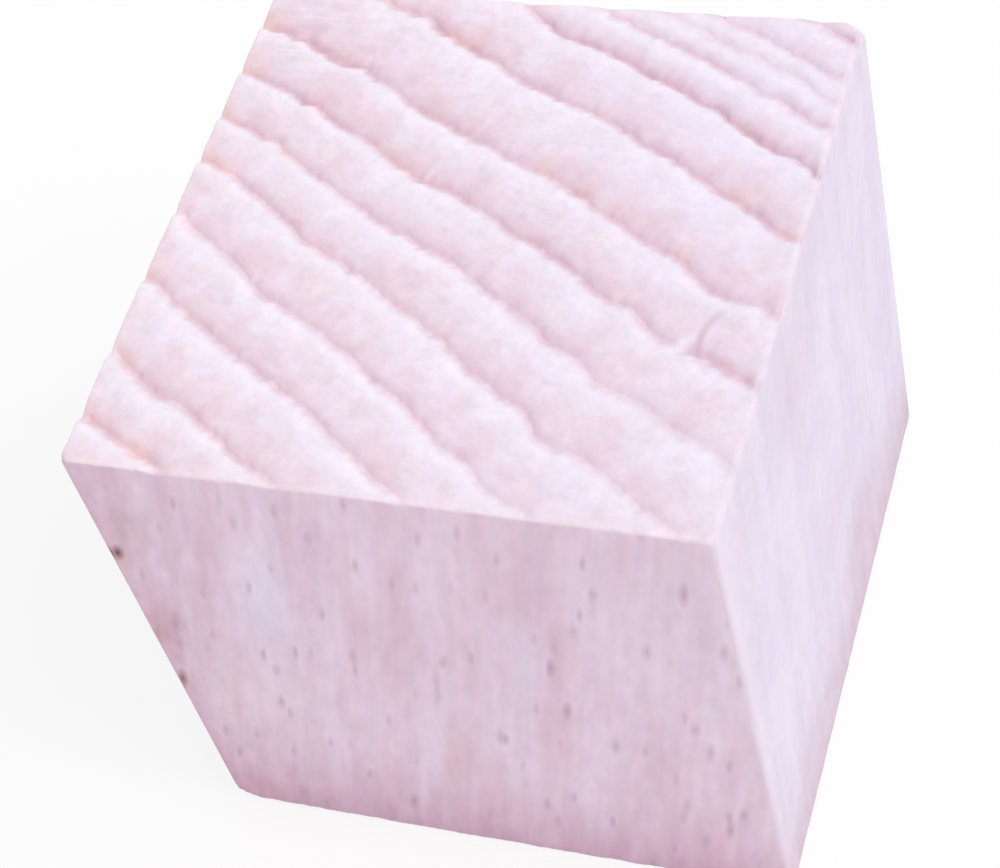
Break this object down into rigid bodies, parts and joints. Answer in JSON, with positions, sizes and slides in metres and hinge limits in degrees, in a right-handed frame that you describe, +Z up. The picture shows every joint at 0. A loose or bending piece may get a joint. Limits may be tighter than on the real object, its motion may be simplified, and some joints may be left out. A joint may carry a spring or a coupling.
{
  "type": "wooden cube",
  "caption": "Small sanded wooden cube with upright grain: flat long-grain sides, and end grain on top stepped along the growth rings.",
  "frame": {"origin": "middle of the underside", "axes": "+Z up along the grain, +X to the right along the front, +Y to the back"},
  "size_m": [0.025, 0.025, 0.025],
  "materials": {
    "bare_wood": "matt, sanded, bare"
  },
  "bodies": {
    "root": {"wooden_cube": "bare_wood"}
  },
  "joints": []
}
